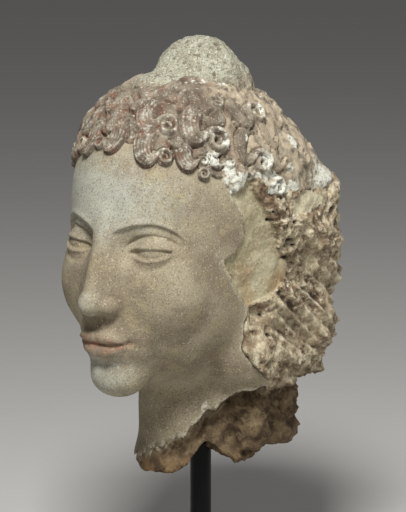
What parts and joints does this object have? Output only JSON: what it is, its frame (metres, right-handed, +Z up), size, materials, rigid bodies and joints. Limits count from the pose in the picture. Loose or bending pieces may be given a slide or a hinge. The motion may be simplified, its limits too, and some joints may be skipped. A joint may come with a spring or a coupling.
{
  "type": "bodhisattva head on a stand",
  "caption": "Life-size head of a bodhisattva with rows of curled locks and a topknot, broken from its figure at the neck and carried by a steel rod that rises from a square foot.",
  "frame": {"origin": "middle of the foot's underside, on the rod's axis", "axes": "+Z up along the rod, -Y the way the face looks, +X the head's own left"},
  "size_m": [0.18, 0.2322, 0.4383],
  "materials": {
    "fired_clay": "matt, worn, with traces of white ground and red paint",
    "rod_steel": "blackened, satin",
    "foot_steel": "blackened, satin"
  },
  "bodies": {
    "root": {"head": "fired_clay", "rod": "rod_steel", "foot": "foot_steel"}
  },
  "joints": []
}
